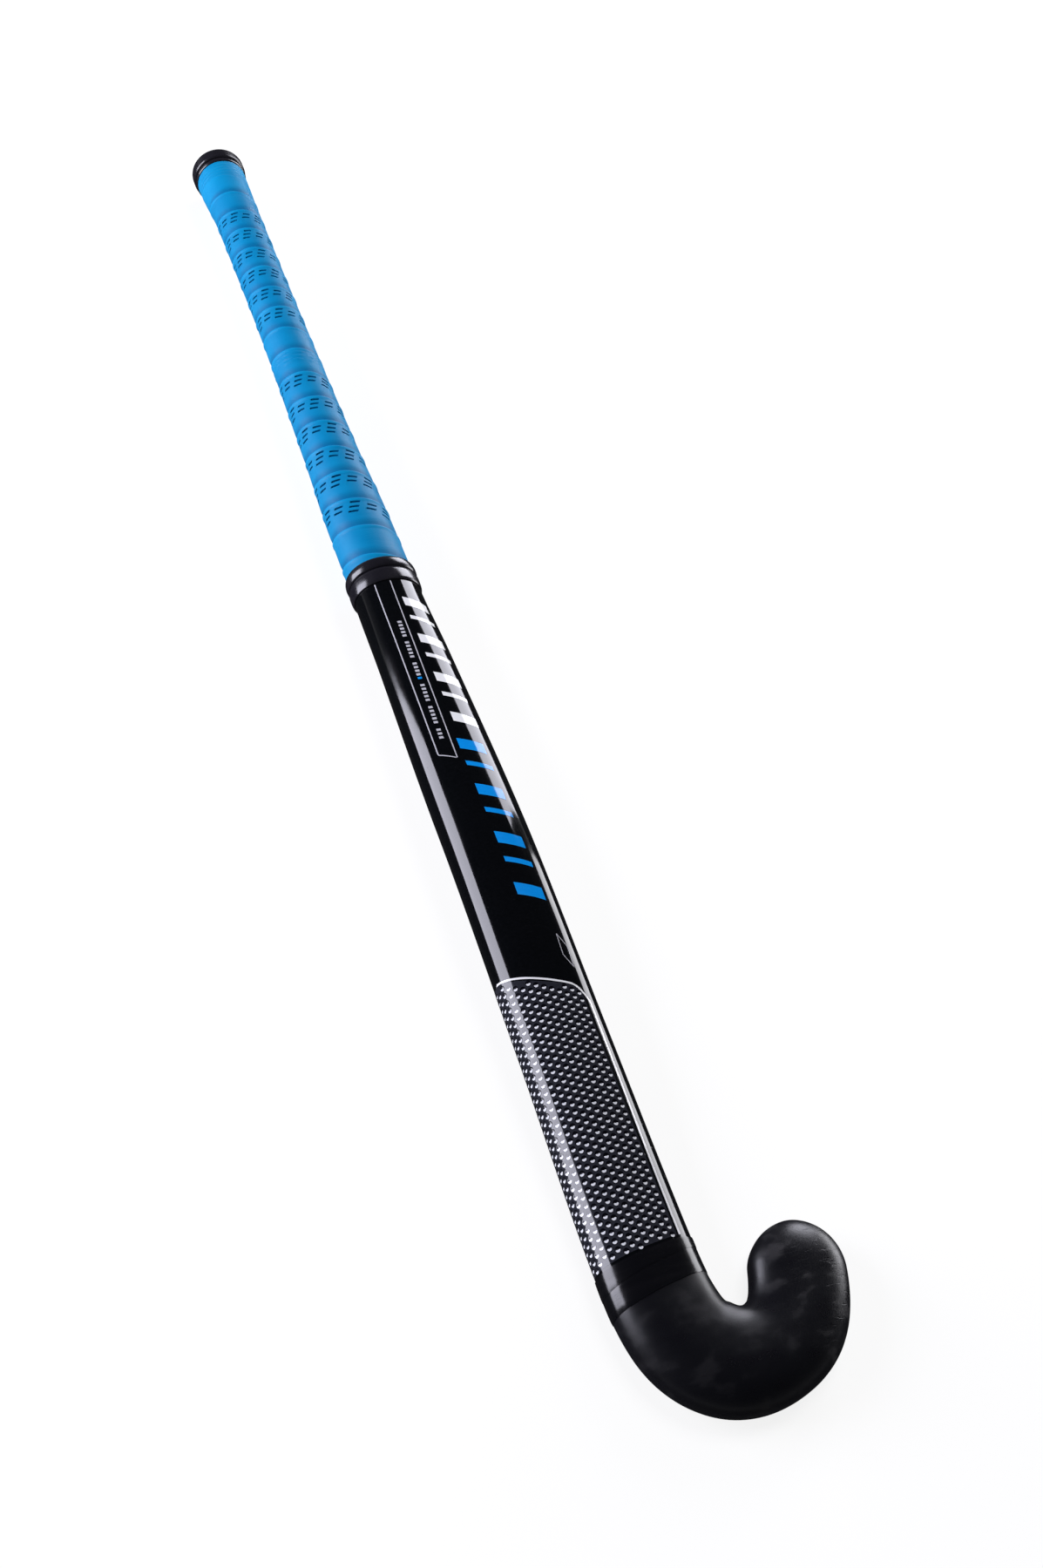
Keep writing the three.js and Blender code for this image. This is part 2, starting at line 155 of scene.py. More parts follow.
def head_point(distance, angle, offset):
    x, y = np.interp(distance, head_s, head_x), np.interp(distance, head_s, head_y)
    turn = np.interp(distance, head_s, head_turn)
    toe = np.clip(1 - (HOOK_LENGTH - distance) / TOE_ROUNDING, 0, 1)
    close = np.sqrt(1 - toe * toe)
    thickness = lerp(THICKNESS[0], TOE_THICKNESS, distance / HOOK_LENGTH)
    close_up = 0.12 + 0.88 * close
    half_width = np.maximum(along(HEAD_Y, HEAD_WIDTH, distance) / 2 * close + offset, 0.3)
    below = thickness * FACE_DEPTH * close_up + offset
    above = thickness * (1 - FACE_DEPTH) * close_up + offset
    side, z = section(angle, half_width, below, above, 0.0)
    z = thickness * FACE_DEPTH + z
    return np.stack(np.broadcast_arrays(x + side * np.cos(turn), y + side * np.sin(turn), z), -1)


def outer_point(y, angle, offset):
    y, angle, offset = np.broadcast_arrays(np.asarray(y, float), angle, offset)
    blade = shaft_point(np.maximum(y, 0), angle, offset)
    head = head_point(np.clip(-y, 0, HOOK_LENGTH), angle, offset)
    return np.where((y > 0)[..., None], blade, head)


def back_angle(arc, y):
    """The angle on the rounded back at a distance, measured over the surface, from the crown."""
    angles = np.radians(np.linspace(-30, 210, 241))
    points = shaft_point(np.asarray(y, float)[:, None], angles[None], 0.0)
    steps = np.linalg.norm(np.diff(points, axis=1), axis=2)
    length = np.concatenate([np.zeros((len(steps), 1)), np.cumsum(steps, axis=1)], axis=1)
    crown = (len(angles) - 1) // 2
    return np.array([np.interp(-a, row - row[crown], angles) for a, row in zip(arc, length)])


def back_point(x, y, offset):
    """A point on the rounded back by its distance x across from the centre line."""
    half_width = along(PROFILE_Y, WIDTH, y) / 2
    power = lerp(BACK_POWER, 1, roundness(y))
    c = np.sign(x) * np.minimum(1, np.abs(x) / half_width) ** (1 / power)
    return shaft_point(y, np.arccos(c), offset)


# ---- Mesh builders ----

def piece(name, points, faces, material, slot, *replaced):
    """One mesh riding on the stick, with outward faces, smooth but for its real edges."""
    points = np.asarray(points, float).reshape(-1, 3)
    first, second, third = (points[[f[i] for f in faces]] for i in range(3))
    last = points[[f[-1] for f in faces]]
    volume = (first * np.cross(second, third)).sum() + (first * np.cross(third, last)).sum()
    faces = [tuple(reversed(f)) for f in faces] if volume < 0 else faces
    mesh = bpy.data.meshes.new(name)
    mesh.from_pydata(((points + ORIGIN) * MM).tolist(), [], faces)
    mesh.polygons.foreach_set("use_smooth", [True] * len(faces))
    mesh.set_sharp_from_angle(angle=math.radians(38))
    mesh.materials.append(material)
    mesh.validate()
    obj = bpy.data.objects.new(name, mesh)
    bpy.context.scene.collection.objects.link(obj)
    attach(obj, "root")
    if replaced:
        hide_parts(*replaced)
    return obj


def grid_faces(rows, columns, wrap_rows=False, wrap_columns=True):
    faces = []
    for r in range(rows if wrap_rows else rows - 1):
        low, high = r * columns, (r + 1) % rows * columns
        for i in range(columns if wrap_columns else columns - 1):
            j = (i + 1) % columns
            faces.append((low + i, low + j, high + j, high + i))
    return faces


def loft(name, rows, material, slot, *replaced, loop=False):
    """Skins closed rows of points; an open stack of rows gets a fan at each end."""
    rows = np.asarray(rows)
    count, columns = rows.shape[:2]
    points = rows.reshape(-1, 3)
    faces = grid_faces(count, columns, wrap_rows=loop)
    if not loop:
        hubs = [rows[0].mean(0), rows[-1].mean(0)]
        base = len(points)
        last = (count - 1) * columns
        for i in range(columns):
            j = (i + 1) % columns
            faces.append((base, j, i))
            faces.append((base + 1, last + i, last + j))
        points = np.vstack([points, hubs])
    return piece(name, points, faces, material, slot, *replaced)


def film(name, top, bottom, material, slot, *replaced):
    """A thin closed skin between two open grids of the same shape."""
    rows, columns = top.shape[:2]
    layer = rows * columns
    over = grid_faces(rows, columns, wrap_columns=False)
    faces = over + [tuple(layer + v for v in reversed(f)) for f in over]
    edge = list(range(columns))
    edge += [r * columns + columns - 1 for r in range(1, rows)]
    edge += [(rows - 1) * columns + c for c in range(columns - 2, -1, -1)]
    edge += [r * columns for r in range(rows - 2, 0, -1)]
    for a, b in zip(edge, edge[1:] + edge[:1]):
        faces.append((b, a, layer + a, layer + b))
    points = np.vstack([top.reshape(-1, 3), bottom.reshape(-1, 3)])
    return piece(name, points, faces, material, slot, *replaced)


ANGLES = np.linspace(0, 2 * np.pi, SIDES, endpoint=False)


def stack(stations, offsets):
    """Rows of the stick's outer profile at some stations, each moved out by its offset."""
    stations = np.asarray(stations, float)
    offsets = np.broadcast_to(np.asarray(offsets, float), stations.shape)
    return outer_point(stations[:, None], ANGLES[None], offsets[:, None])


def turned(outline, centre_z):
    """A closed outline of (radius, y) turned about the handle's axis."""
    return [
        np.stack([r * np.cos(ANGLES), np.full(SIDES, y), centre_z + r * np.sin(ANGLES)], -1)
        for r, y in outline
    ]


def fillet(corners, radius, steps=5):
    """Rounds the inner corners of an open outline of (radius, y) points."""
    corners = [np.array(c, float) for c in corners]
    outline = [corners[0]]
    for before, corner, after in zip(corners, corners[1:], corners[2:]):
        to_before, to_after = before - corner, after - corner
        reach = min(radius, 0.45 * np.linalg.norm(to_before), 0.45 * np.linalg.norm(to_after))
        start = corner + to_before / np.linalg.norm(to_before) * reach
        end = corner + to_after / np.linalg.norm(to_after) * reach
        for t in np.linspace(0, 1, steps):
            outline.append((1 - t) ** 2 * start + 2 * t * (1 - t) * corner + t * t * end)
    outline.append(corners[-1])
    return outline


# ---- Materials ----

def node(tree, kind, inputs=None, **settings):
    made = tree.nodes.new(kind)
    for key, value in settings.items():
        setattr(made, key, value)
    for key, value in (inputs or {}).items():
        if isinstance(value, bpy.types.NodeSocket):
            tree.links.new(value, made.inputs[key])
        else:
            made.inputs[key].default_value = value
    return made


def new_material(name, **constants):
    """A material with a Principled shader, object coordinates, and these constants on its sockets."""
    material = bpy.data.materials.new(name)
    material.use_nodes = True
    tree = material.node_tree
    shader = tree.nodes["Principled BSDF"]
    for key, value in constants.items():
        shader.inputs[key.replace("_", " ")].default_value = value
    where = node(tree, "ShaderNodeTexCoord").outputs["Object"]
    return material, tree, shader, where


def noise(tree, where, scale, stretch=(1, 1, 1), detail=4.0):
    spread = node(tree, "ShaderNodeMapping", {"Vector": where, "Scale": stretch})
    return node(
        tree, "ShaderNodeTexNoise",
        {"Vector": spread.outputs[0], "Scale": scale, "Detail": detail},
    ).outputs["Fac"]


def remap(tree, value, low, high, to_low, to_high):
    return node(
        tree, "ShaderNodeMapRange",
        {"Value": value, "From Min": low, "From Max": high, "To Min": to_low, "To Max": to_high},
    ).outputs["Result"]


def blend_colours(tree, factor, first, second):
    mix = node(tree, "ShaderNodeMix", data_type="RGBA")
    tree.links.new(factor, mix.inputs[0])
    for socket, value in ((mix.inputs[6], first), (mix.inputs[7], second)):
        if isinstance(value, bpy.types.NodeSocket):
            tree.links.new(value, socket)
        else:
            socket.default_value = (*value, 1)
    return mix.outputs[2]


def math_node(tree, operation, *values):
    made = node(tree, "ShaderNodeMath", operation=operation)
    for socket, value in zip(made.inputs, values):
        if isinstance(value, bpy.types.NodeSocket):
            tree.links.new(value, socket)
        else:
            socket.default_value = value
    return made.outputs[0]


def bump(tree, shader, height, distance):
    made = node(tree, "ShaderNodeBump", {"Height": height, "Distance": distance, "Strength": 1.0})
    tree.links.new(made.outputs[0], shader.inputs["Normal"])


def finish_colour(tree, shader, factor, first, second):
    tree.links.new(blend_colours(tree, factor, first, second), shader.inputs["Base Color"])


def make_lacquer(name, first, second, grain=900.0, roughness=(0.05, 0.11), peel=0.00002):
    """Glossy lacquered colour: faint orange peel, and dust specks that break up a reflection."""
    material, tree, shader, where = new_material(name, Coat_Weight=0.0, IOR=1.5)
    tone = noise(tree, where, grain, detail=3.0)
    finish_colour(tree, shader, remap(tree, tone, 0.35, 0.65, 0, 1), first, second)
    smear = noise(tree, where, 45.0, (1, 0.3, 1))
    rough = remap(tree, smear, 0.35, 0.7, *roughness)
    dust = node(tree, "ShaderNodeTexVoronoi", {"Vector": where, "Scale": 210.0, "Randomness": 1.0})
    patch = noise(tree, where, 16.0, (1, 0.6, 1))
    size = remap(tree, patch, 0.45, 0.68, 0.02, 0.15)
    speck = math_node(tree, "LESS_THAN", dust.outputs["Distance"], size)
    tree.links.new(math_node(tree, "MULTIPLY_ADD", speck, 0.22, rough), shader.inputs["Roughness"])
    bump(tree, shader, noise(tree, where, 160.0, (1, 0.5, 1), detail=2.0), peel)
    return material


def make_head_skin():
    """Satin skin of the head, with fine grain, rub marks and a scuffed toe."""
    material, tree, shader, where = new_material("head_skin", IOR=1.5, Specular_IOR_Level=0.4)
    rub = noise(tree, where, 70.0, (1.0, 1.6, 1.0), detail=8.0)
    scuff = remap(tree, rub, 0.56, 0.7, 0, 1)
    split = node(tree, "ShaderNodeSeparateXYZ", {"Vector": where})
    toe = remap(tree, split.outputs["X"], 0.01, 0.05, 0.15, 1)
    scuff = math_node(tree, "MULTIPLY", scuff, toe)
    finish_colour(tree, shader, scuff, (0.005, 0.005, 0.007), (0.055, 0.053, 0.057))
    tree.links.new(remap(tree, rub, 0.35, 0.7, 0.27, 0.4), shader.inputs["Roughness"])
    grain = noise(tree, where, 2200.0, detail=2.0)
    scratch = noise(tree, where, 120.0, (1.0, 7.0, 1.0), detail=6.0)
    marks = remap(tree, scratch, 0.6, 0.66, 0, 1.2)
    height = math_node(tree, "SUBTRACT", grain, math_node(tree, "MULTIPLY", marks, toe))
    bump(tree, shader, height, 0.00003)
    return material


def make_neck_tape():
    """Satin film tape with faint stretch lines round the neck."""
    material, tree, shader, where = new_material("neck_tape", IOR=1.48)
    stretch = noise(tree, where, 40.0, (0.4, 8.0, 0.4), detail=5.0)
    finish_colour(tree, shader, stretch, (0.0022, 0.0024, 0.0035), (0.0045, 0.0045, 0.006))
    tree.links.new(remap(tree, stretch, 0.3, 0.7, 0.14, 0.2), shader.inputs["Roughness"])
    bump(tree, shader, stretch, 0.00008)
    return material


def make_grip_blue():
    """Soft-touch blue grip tape: fine grain, pull lines along the tape, and painted light from the "slot"
    attribute: painted shade in the slots and creases, and a painted highlight along each overlap's edge.
    """
    material, tree, shader, where = new_material(
        "grip_blue", Sheen_Weight=0.03, Sheen_Roughness=0.4, Sheen_Tint=(0.75, 0.7, 1.0, 1), IOR=1.4,
        Specular_IOR_Level=0.2,
    )
    cloud = noise(tree, where, 60.0, detail=5.0)
    # The "slot" attribute carries painted light: high values are painted shade in the slots and creases, and
    # its lowest values a painted highlight on each overlap's edge.
    slot = node(tree, "ShaderNodeAttribute", attribute_name="slot").outputs["Fac"]
    blue = blend_colours(tree, remap(tree, cloud, 0.3, 0.7, 0, 1), (0.0, 0.215, 0.45), (0.0, 0.25, 0.5))
    # Painted shade and highlight: the blue is blended towards dark blue as far as the "slot" attribute says.
    tree.links.new(blend_colours(tree, slot, blue, (0.0, 0.05, 0.16)), shader.inputs["Base Color"])
    tree.links.new(remap(tree, cloud, 0.3, 0.7, 0.42, 0.52), shader.inputs["Roughness"])
    grain = node(tree, "ShaderNodeTexVoronoi", {"Vector": where, "Scale": 1500.0}).outputs["Distance"]
    split = node(tree, "ShaderNodeSeparateXYZ", {"Vector": where})
    wave = math_node(tree, "SINE", math_node(tree, "MULTIPLY", split.outputs["Y"], 2 * math.pi / 0.0034), 0)
    under_cap = (ORIGIN[1] + 815) * MM
    near_cap = remap(tree, split.outputs["Y"], under_cap, under_cap + 8 * MM, 0, 3.0)
    ripple = math_node(tree, "MULTIPLY", math_node(tree, "MULTIPLY", wave, near_cap), cloud)
    pull = math_node(tree, "MULTIPLY", noise(tree, where, 90.0, (0.5, 4.0, 0.5)), 1.6)
    waves = math_node(tree, "ADD", pull, ripple)
    height = math_node(tree, "ADD", math_node(tree, "MULTIPLY", grain, 0.5), waves)
    bump(tree, shader, height, 0.00007)
    return material


def make_rubber():
    """Glossy moulded rubber of the collar and the cap, with fine mould texture and smudges."""
    material, tree, shader, where = new_material("moulded_rubber", IOR=1.52, Specular_IOR_Level=0.6)
    smudge = noise(tree, where, 130.0, (1, 0.4, 1), detail=6.0)
    finish_colour(tree, shader, smudge, (0.006, 0.006, 0.009), (0.014, 0.013, 0.017))
    tree.links.new(remap(tree, smudge, 0.3, 0.7, 0.13, 0.26), shader.inputs["Roughness"])
    bump(tree, shader, noise(tree, where, 1300.0, detail=2.0), 0.000025)
    return material


def make_fibre(name, dark, light, scale):
    """Woven or unidirectional fibre laminate."""
    material, tree, shader, where = new_material(name, Roughness=0.4)
    weave = node(
        tree, "ShaderNodeTexWave", {"Vector": where, "Scale": scale, "Distortion": 1.2, "Detail": 3.0},
        bands_direction="DIAGONAL",
    ).outputs["Fac"]
    finish_colour(tree, shader, weave, dark, light)
    bump(tree, shader, weave, 0.00005)
    return material


def make_cellular(name, dark, light, scale, roughness):
    """Foam: rounded cells with darker walls between them."""
    material, tree, shader, where = new_material(name, Roughness=roughness)
    cell = node(tree, "ShaderNodeTexVoronoi", {"Vector": where, "Scale": scale}).outputs["Distance"]
    finish_colour(tree, shader, remap(tree, cell, 0.1, 0.6, 0, 1), light, dark)
    bump(tree, shader, cell, 0.0002)
    return material


lacquer = make_lacquer("gloss_lacquer", (0.0012, 0.0016, 0.0022), (0.0024, 0.0028, 0.0038))
panel_black = make_lacquer("panel_print", (0.016, 0.017, 0.023), (0.024, 0.025, 0.033), grain=1800.0)
well_black = make_lacquer("well_print", (0.001, 0.001, 0.002), (0.002, 0.002, 0.004))
silver_print = make_lacquer("silver_print", (0.42, 0.42, 0.46), (0.52, 0.52, 0.56), grain=2500.0)
dot_print = make_lacquer("dot_print", (0.66, 0.67, 0.72), (0.78, 0.79, 0.83), grain=2500.0)
white_print = make_lacquer("white_print", (0.8, 0.81, 0.83), (0.88, 0.88, 0.89), grain=2500.0)
blue_print = make_lacquer("blue_print", (0.0, 0.25, 0.74), (0.005, 0.28, 0.8), grain=2500.0)
head_skin = make_head_skin()
neck_tape = make_neck_tape()
grip_blue = make_grip_blue()
rubber = make_rubber()
laminate = make_fibre("laminate", (0.012, 0.012, 0.014), (0.05, 0.05, 0.056), 180.0)
foam = make_cellular("rigid_foam", (0.42, 0.36, 0.22), (0.66, 0.59, 0.42), 900.0, 0.9)
cushion = make_cellular("cushion_rubber", (0.012, 0.012, 0.014), (0.04, 0.04, 0.044), 1400.0, 0.85)


# ---- Shaft, head and neck tape ----

def make_shaft():
    def inset(y):
        under_skin = y < SLEEVE_TOP + GAP
        return np.where(under_skin, -(SLEEVE_WALL + GAP), np.where(y > COLLAR_LOW + 4, -UNDER_GRIP, 0.0))

    foot = [TUBE_FOOT, -20, -12, SLEEVE_TOP, SLEEVE_TOP + 2 * GAP]
    blade = np.concatenate([foot, np.arange(0, COLLAR_LOW + 3.6, 4), [COLLAR_LOW + 3.7, COLLAR_LOW + 4.3]])
    handle = np.append(np.arange(420, TUBE_TOP, 12.0), TUBE_TOP)
    stations = np.concatenate([blade, handle])
    outer = stack(stations, inset(stations))
    bore = np.append(np.arange(TUBE_FOOT, TUBE_TOP, 20.0), TUBE_TOP)
    inner = stack(bore, np.where(bore > 402, -UNDER_GRIP, -(SLEEVE_WALL + GAP)) - TUBE_WALL)
    rows = np.concatenate([outer, inner[::-1]])
    loft("lacquered_shaft", rows, lacquer, "gloss_lacquer", "shaft_tube", loop=True)


def make_head():
    bend_end = HOOK_LENGTH - TOE_ROUNDING
    toe = bend_end + TOE_ROUNDING * np.sin(np.linspace(0, np.pi / 2, 28))[1:]
    stations = -np.concatenate([[GAP - SLEEVE_TOP], np.arange(4.5, bend_end, 1.2), toe])
    inside = stack(stations[:-3], -SLEEVE_WALL)
    rows = np.concatenate([inside[::-1], stack(stations, -0.02)])
    loft("head_shell", rows, head_skin, "head_skin", "head_sleeve")


def make_neck_tape_laps():
    slant_reach = 24 * np.cos(ANGLES)

    def lap(name, replaced, low, high, lift, thickness):
        """low and high are (y, slant, waviness) of a lap's edges."""
        def rows(offset):
            made = []
            for t in np.linspace(0, 1, 9):
                y, slant, wave = (lerp(low[k], high[k], t) for k in range(3))
                line = y + slant * slant_reach + wave * np.sin(3 * ANGLES + 5 * t)
                made.append(outer_point(line, ANGLES, offset))
            return made
        edge = rows(lift + thickness)
        edge[0] = lerp(edge[0], rows(lift)[0], 0.5)
        edge[-1] = lerp(edge[-1], rows(lift)[-1], 0.5)
        loft(name, edge + rows(lift)[::-1], neck_tape, "neck_tape", replaced, loop=True)

    lap("neck_tape_lap_1", "neck_tape_lower", (-16.8, 0.1, 0.15), (-5, 0.2, 0.1), 0.05, 0.25)
    lap("neck_tape_lap_2", "neck_tape_upper", (-5.6, 0.2, 0.12), (1.2, 0.12, 0.08), 0.32, 0.14)


# ---- Grip, collar and end cap ----

RIDGE_LOW = 433.5  # first overlap's edge, just left of the crown
LOWER_PITCH, UPPER_PITCH = 23.42, 21.8
PITCH_CHANGE = 8  # turns up from the first ridge
RIDGE_ANGLE = 110 / 360  # where round the handle the ridge heights are taken
SLOT_COLUMNS = 11.5  # columns of slots in one turn
SLOT_LINES = [0, 0.12, 0.2, 0.25, 0.3, 0.38]  # grid lines in half a column, in columns
SLOT_ROWS = [3.6, 5.5, 7.4, 9.3, 11.2]  # their distances under the overlap's edge
SLOT_DEPTH = 1.25
PERFORATED = [*range(2, 8), *range(10, 16)]
EMBOSSED = 8
RIDGE_HEIGHT, VALLEY_DEPTH = 0.3, 0.65
TAPE_SKEW = 0.33 / 16.5  # how far a column of slots leans round the handle, in radians per millimetre
LEAN_REACH = 12  # the lean grows this far under the edge, and then dies away
CREASE_REACH = 6.5  # length of the dip above each edge
CALM_FROM = 798  # the relief flattens out above this, towards the cap
SLOT_HALF_LENGTH, SLOT_HALF_SHARE = 0.6, 0.3  # along the stick, and round it in columns


def ridge_y(turns):
    """Height along the stick of the overlap's edge, after so many turns up the helix."""
    turns = turns - RIDGE_ANGLE
    waviness = 0.3 * np.sin(turns * 9.1) + 0.2 * np.sin(turns * 23.7 + 1)
    climb = LOWER_PITCH * np.minimum(turns, PITCH_CHANGE) + UPPER_PITCH * np.maximum(turns - PITCH_CHANGE, 0)
    return RIDGE_LOW + climb + waviness


def make_grip():
    lines = len(SLOT_LINES) * 2
    per_turn = round(SLOT_COLUMNS * lines)
    slot_span = [row + step for row in SLOT_ROWS for step in (-0.75, -0.5, 0, 0.5, 0.75)]
    below = np.array([0, 0.25, 0.5, 0.8, 1.2, 1.7, 2.3, *slot_span, 13.2, 14.8, 16.2, 17.4, 18.6])
    turns = range(-2, 20)
    column = np.arange(per_turn)
    fraction = np.array(SLOT_LINES + [0.5 + s for s in SLOT_LINES])

    rows, depth, painted_shade_and_highlight = [], [], []
    for turn in turns:
        index = column + turn * per_turn  # counts grid lines up the helix
        slot_number = np.floor_divide(index, lines)
        in_slot = fraction[np.mod(index, lines)]
        climbed = (slot_number + in_slot) / SLOT_COLUMNS
        top = ridge_y(climbed)
        pitch = top - ridge_y(climbed - 1)
        from_centre = np.where(in_slot > 0.5, in_slot - 1, in_slot)
        three_rows = np.where(in_slot > 0.5, slot_number + 1, slot_number) % 2 == 0
        for distance in [*below, -2.2, -1.4, -0.7, -0.3][::-1]:
            under = np.where(distance < 0, pitch + distance, distance)
            dying = smooth((under - LEAN_REACH) / (pitch - LEAN_REACH - 1))
            lean = TAPE_SKEW * np.minimum(under, LEAN_REACH) * (1 - dying)
            top = ridge_y(climbed + lean / (2 * np.pi))
            y = np.clip(top - under, GRIP_LOW, GRIP_HIGH)
            rows.append((y, 2 * np.pi * climbed + lean))
            clamped = top - y
            rise = np.interp(clamped, [0, 0.25, 0.5, 0.8, 1.2], [0, 0.5, 0.8, 0.96, 1])
            climb = lerp(RIDGE_HEIGHT, -0.1, smooth((clamped - 0.9) / 2.6))
            height = lerp(-VALLEY_DEPTH, climb, rise)
            height = height - (VALLEY_DEPTH - 0.1) * smooth((clamped - pitch + CREASE_REACH) / CREASE_REACH)
            calm = 1 - 0.8 * smooth((y - CALM_FROM) / 6)
            height = height * calm
            hole = np.zeros(per_turn)
            if turn in PERFORATED and distance > 0:
                for n, centre in enumerate(SLOT_ROWS):
                    if abs(distance - centre) < SLOT_HALF_LENGTH:
                        on_column = three_rows if n % 2 == 0 else ~three_rows
                        hole = np.where((np.abs(from_centre) < SLOT_HALF_SHARE) & on_column, 1.0, hole)
            if turn == EMBOSSED:
                around = 2 * np.pi * climbed / 0.36
                pattern = np.cos(around) * np.cos(2 * np.pi * (clamped - 8) / 7.5)
                fade = smooth((clamped - 2.5) / 1.5) * smooth((13.5 - clamped) / 1.5)
                height = height + 0.28 * fade * smooth((np.abs(pattern) - 0.25) / 0.3)
            depth.append(height - SLOT_DEPTH * hole)
            # Painted light for the "slot" attribute: full painted shade in the slots, painted shade in the
            # crease above each overlap's edge, and a painted highlight on the ridge, against an even 0.18
            # elsewhere.
            crease_shade = smooth((clamped - pitch + CREASE_REACH) / 5)
            ridge_highlight = smooth(clamped / 0.4) * smooth((3.2 - clamped) / 1.6)
            painted_shade_and_highlight.append(np.maximum(hole, calm * (0.18 - 0.18 * ridge_highlight + 0.36 * crease_shade)))

    y, angle = (np.array([r[k] for r in rows]) for k in range(2))
    depth = np.minimum(np.array(depth), RIDGE_HEIGHT)
    outer = shaft_point(y, angle, depth)
    row_count, per_row = len(rows), len(rows) // len(turns)
    wall_y = np.linspace(GRIP_LOW, GRIP_HIGH, 30)
    wall = shaft_point(wall_y[:, None], angle[0][None], -GRIP_TAPE)
    base = row_count * per_turn

    faces = []
    for r in range(row_count - 1):
        for j in range(per_turn - 1):
            a = r * per_turn + j
            faces.append((a, a + 1, a + per_turn + 1, a + per_turn))
        if r + per_row + 1 < row_count:  # the last column meets the first, one turn further up
            a, b = r * per_turn + per_turn - 1, (r + per_row) * per_turn
            faces.append((a, b, b + per_turn, a + per_turn))
    for r in range(len(wall_y) - 1):
        for j in range(per_turn):
            a, b = base + r * per_turn + j, base + r * per_turn + (j + 1) % per_turn
            faces.append((b, a, a + per_turn, b + per_turn))
    low_wall, high_wall = base, base + (len(wall_y) - 1) * per_turn
    high = (row_count - 1) * per_turn
    for j in range(per_turn):
        k = (j + 1) % per_turn
        faces.append((j, low_wall + j, low_wall + k, k))
        faces.append((high + j, high + k, high_wall + k, high_wall + j))

    points = np.vstack([outer.reshape(-1, 3), wall.reshape(-1, 3)])
    grip = piece("grip_helical_wrap", points, faces, grip_blue, "grip_tape", "grip_wrap")
    # The painted shade and highlight go into the "slot" attribute; the end walls get none.
    shade = np.concatenate([np.array(painted_shade_and_highlight).ravel(), np.zeros(wall_y.size * per_turn)])
    store = grip.data.attributes.new("slot", "FLOAT", "POINT")
    store.data.foreach_set("value", shade)
    work = bmesh.new()
    work.from_mesh(grip.data)
    bmesh.ops.remove_doubles(work, verts=work.verts, dist=2e-6)
    bmesh.ops.dissolve_degenerate(work, edges=work.edges, dist=1e-6)
    work.to_mesh(grip.data)
    work.free()
    grip.data.set_sharp_from_angle(angle=math.radians(50))


def make_collar():
    low, high = COLLAR_LOW, COLLAR_HIGH
    groove = low + 0.58 * (high - low)

    def band(outline, inner_offset):
        line = fillet(outline, 1.2)
        outer = stack([p[1] for p in line], [p[0] for p in line])
        inner_y = np.linspace(outline[0][1], outline[-1][1], 6)
        return np.concatenate([outer, stack(inner_y, inner_offset)[::-1]])

    edge = groove - GAP
    lower = [(0.35, low), (0.75, low + 0.15), (1.15, low + 1.4), (1.4, low + 4), (1.4, edge - 2), (0.5, edge)]
    loft("collar_lower_band", band(lower, 0.06), rubber, "moulded_rubber", "collar_band", loop=True)
    t = np.linspace(0, 1, 25)
    bead_y = groove + (high - groove) * t
    bead = stack(bead_y, 0.4 + 1.3 * np.sqrt(np.maximum(0, 1 - (2 * t - 1) ** 2)))
    inner = stack(np.linspace(groove, high, 6), -UNDER_GRIP + GAP)
    rows = np.concatenate([bead, inner[::-1]])
    loft("collar_round_bead", rows, rubber, "moulded_rubber", "collar_bead", loop=True)


def make_cap():
    centre_z = HEAD_MIDDLE + RISE[-1]
    foot = TUBE_TOP - CAP_SPIGOT
    spigot = along(PROFILE_Y, WIDTH, np.array([foot]))[0] / 2 - UNDER_GRIP - TUBE_WALL - 3 * GAP
    top = GRIP_HIGH + CAP_LENGTH
    rim = GRIP_HIGH + 4.8
    outline = [
        (0.5, foot), (spigot - 2, foot), (spigot, foot + 3), (spigot, TUBE_TOP + GAP), (13.5, TUBE_TOP + GAP),
        (13.5, rim), (CAP_FLANGE - 0.8, rim), (CAP_FLANGE, rim + 1), (CAP_FLANGE, top - 4.5),
        (CAP_FLANGE - 0.9, top - 2.6), (CAP_FLANGE - 3, top - 1), (CAP_FLANGE - 5.2, top - 0.45),
        (CAP_FLANGE - 6.1, top - 0.9), (CAP_FLANGE - 7, top - 0.35), (0.5, top),
    ]
    loft("domed_end_cap", turned(fillet(outline, 1.0), centre_z), rubber, "moulded_rubber", "end_cap")
    low, high = GRIP_HIGH + GAP, rim - GAP
    lip = fillet([(14, low), (17.2, low), (17.8, low + 1.1), (17.1, high), (14, high)], 0.8)
    loft("cap_lip_ring", turned(lip, centre_z), rubber, "moulded_rubber", "cap_lip", loop=True)


# ---- Printed films, under the lacquer ----

INK_LOW, INK_HIGH = 0.015, 0.055  # heights over the shaft
PANEL_HIGH = 0.05
LINE_WIDTH = 0.6
LONG_BAR, SHORT_BAR = 0.46, 0.2  # shares of the bars' pitch


def conformal(name, x, y, material, slot, *replaced, lift=0.0):
    """A film over a grid of (x, y) places on the rounded back."""
    top = back_point(x, y, INK_HIGH + lift)
    film(name, top, back_point(x, y, INK_LOW + lift), material, slot, *replaced)


def bar(name, left, right, start, length, slant, material, slot, *replaced):
    u, v = np.meshgrid(np.linspace(0, 1, 17), np.linspace(0, 1, 9))
    conformal(name, lerp(left, right, u), start + slant * u - length * v, material, slot, *replaced)


